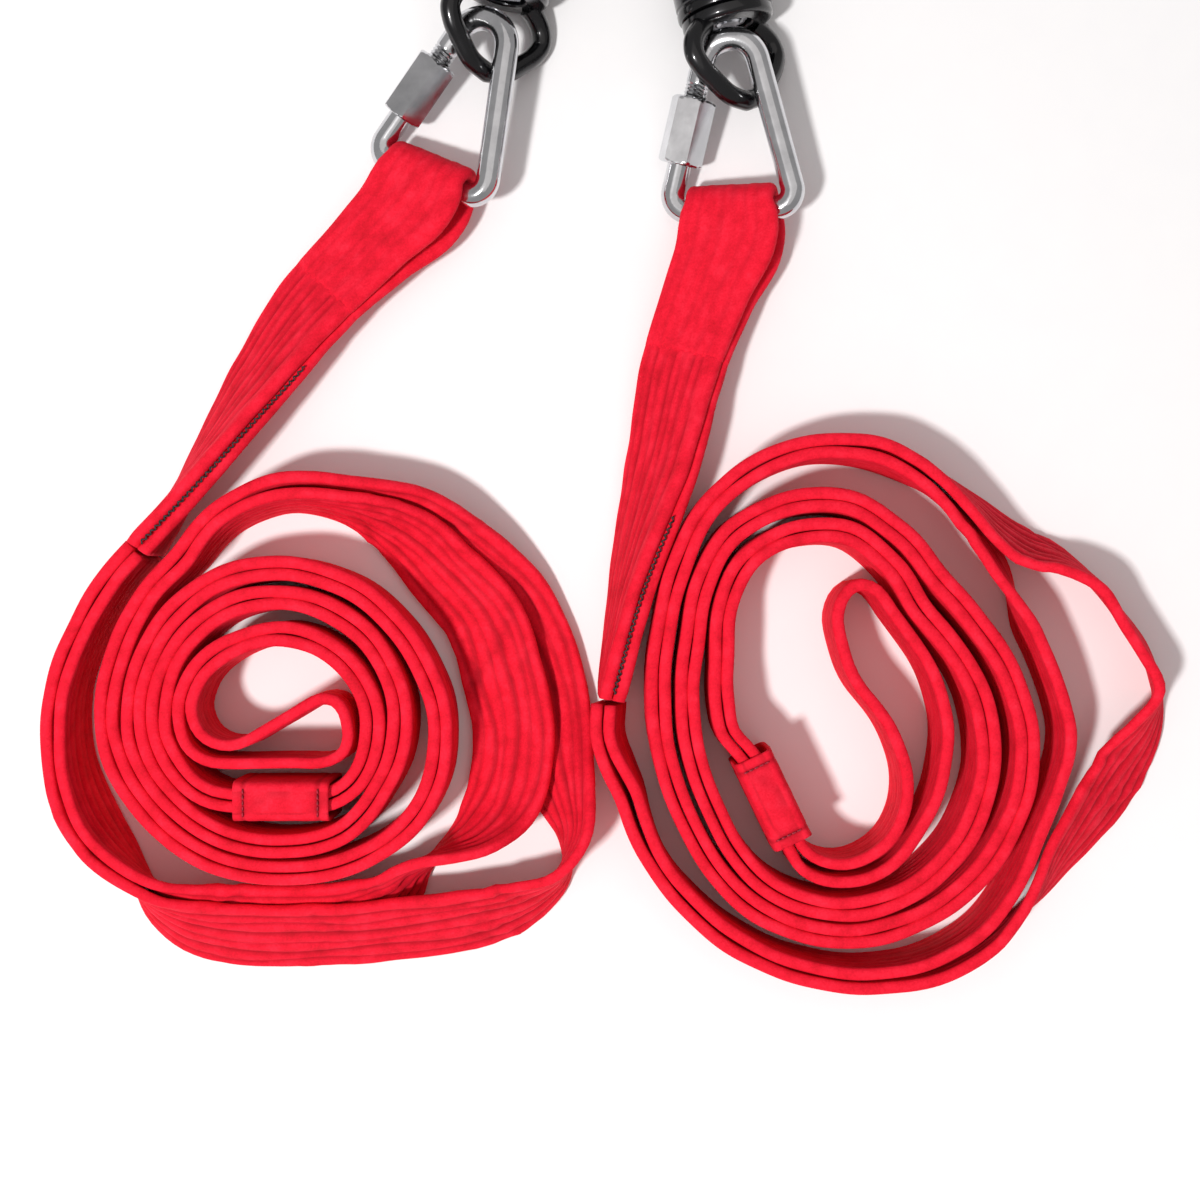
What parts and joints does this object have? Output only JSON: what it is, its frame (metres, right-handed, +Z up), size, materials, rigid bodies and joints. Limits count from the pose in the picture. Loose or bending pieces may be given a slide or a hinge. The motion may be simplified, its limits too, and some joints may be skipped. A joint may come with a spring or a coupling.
{
  "type": "covered webbing hand strap pair",
  "caption": "Pair of velour-covered webbing hand straps, coiled on edge, each sewn into an eye round a delta quick link with a black round-bar swivel hooked through it.",
  "frame": {"origin": "The middle of the pair's bounding box, on the surface the straps lie on.", "axes": "+Z up from the surface, +Y from the coils towards the swivels, +X from the left strap to the right one."},
  "size_m": [0.4646, 0.4799, 0.0435],
  "materials": {
    "velour": "matte",
    "webbing": "matte",
    "thread": "matte",
    "seam_thread": "matte",
    "polished_steel": "polished",
    "black_alloy": "gloss",
    "plain_steel": "satin"
  },
  "bodies": {
    "left_strap": {"left_band": "velour", "left_eye_webbing": "webbing", "left_eye_sleeve": "velour", "left_splice_upper": "velour", "left_splice_lower": "velour", "left_splice_stitching": "thread"},
    "left_keeper_loop": {"left_keeper": "velour", "left_keeper_stitching_a": "seam_thread", "left_keeper_stitching_b": "seam_thread"},
    "left_quick_link": {"left_link": "polished_steel"},
    "left_quick_link_nut": {"left_link_nut": "polished_steel"},
    "left_swivel_bottom": {"left_swivel_lower_eye": "black_alloy"},
    "left_swivel_top": {"left_swivel_upper_eye": "black_alloy", "left_swivel_barrel": "black_alloy", "left_swivel_axle": "plain_steel", "left_swivel_lock_nut": "plain_steel", "left_swivel_bearing": "plain_steel"},
    "right_strap": {"right_band": "velour", "right_eye_webbing": "webbing", "right_eye_sleeve": "velour", "right_splice_upper": "velour", "right_splice_lower": "velour", "right_splice_stitching": "thread"},
    "right_keeper_loop": {"right_keeper": "velour", "right_keeper_stitching_a": "seam_thread", "right_keeper_stitching_b": "seam_thread"},
    "right_quick_link": {"right_link": "polished_steel"},
    "right_quick_link_nut": {"right_link_nut": "polished_steel"},
    "right_swivel_bottom": {"right_swivel_lower_eye": "black_alloy"},
    "right_swivel_top": {"right_swivel_upper_eye": "black_alloy", "right_swivel_barrel": "black_alloy", "right_swivel_axle": "plain_steel", "right_swivel_lock_nut": "plain_steel", "right_swivel_bearing": "plain_steel"}
  },
  "joints": [
    {"name": "left_keeper_slide", "type": "slide", "parent": "left_strap", "child": "left_keeper_loop", "axis": [1, 0.0007, 0], "range_m": [-0.002, 0.0005]},
    {"name": "left_link_swing", "type": "hinge", "parent": "left_strap", "child": "left_quick_link", "pos_m": [-0.07646, 0.09543, 0.01592], "axis": [0.8693, -0.4102, 0.2756], "range_deg": [0, 70]},
    {"name": "left_link_nut_travel", "type": "slide", "parent": "left_quick_link", "child": "left_quick_link_nut", "axis": [0.594, 0.775, 0.2157], "range_m": [-0.007, 0]},
    {"name": "left_swivel_swing", "type": "hinge", "parent": "left_quick_link", "child": "left_swivel_bottom", "pos_m": [-0.05565, 0.14468, 0.02467], "axis": [0.7356, -0.6675, -0.1158], "range_deg": [0, 28]},
    {"name": "left_swivel_spin", "type": "hinge", "parent": "left_swivel_bottom", "child": "left_swivel_top", "pos_m": [-0.04171, 0.18735, 0.02012], "axis": [0.2079, 0.9781, 0], "continuous": true},
    {"name": "right_keeper_slide", "type": "slide", "parent": "right_strap", "child": "right_keeper_loop", "axis": [0.4319, -0.9019, 0], "range_m": [-0.0005, 0.002]},
    {"name": "right_link_swing", "type": "hinge", "parent": "right_strap", "child": "right_quick_link", "pos_m": [0.05004, 0.08243, 0.01592], "axis": [0.9611, -0.0154, 0.2756], "range_deg": [0, 70]},
    {"name": "right_link_nut_travel", "type": "slide", "parent": "right_quick_link", "child": "right_quick_link_nut", "axis": [0.2217, 0.9509, 0.2158], "range_m": [-0.007, 0]},
    {"name": "right_swivel_swing", "type": "hinge", "parent": "right_quick_link", "child": "right_swivel_bottom", "pos_m": [0.04996, 0.14024, 0.02499], "axis": [0.6244, -0.7716, -0.1219], "range_deg": [0, 12]},
    {"name": "right_swivel_spin", "type": "hinge", "parent": "right_swivel_bottom", "child": "right_swivel_top", "pos_m": [0.04417, 0.17534, 0.02012], "axis": [-0.225, 0.9744, 0], "continuous": true},
    {"name": "between_the_straps", "type": "slide", "parent": "left_strap", "child": "right_strap", "axis": [1, 0, 0], "range_m": [0, 0.15]}
  ]
}
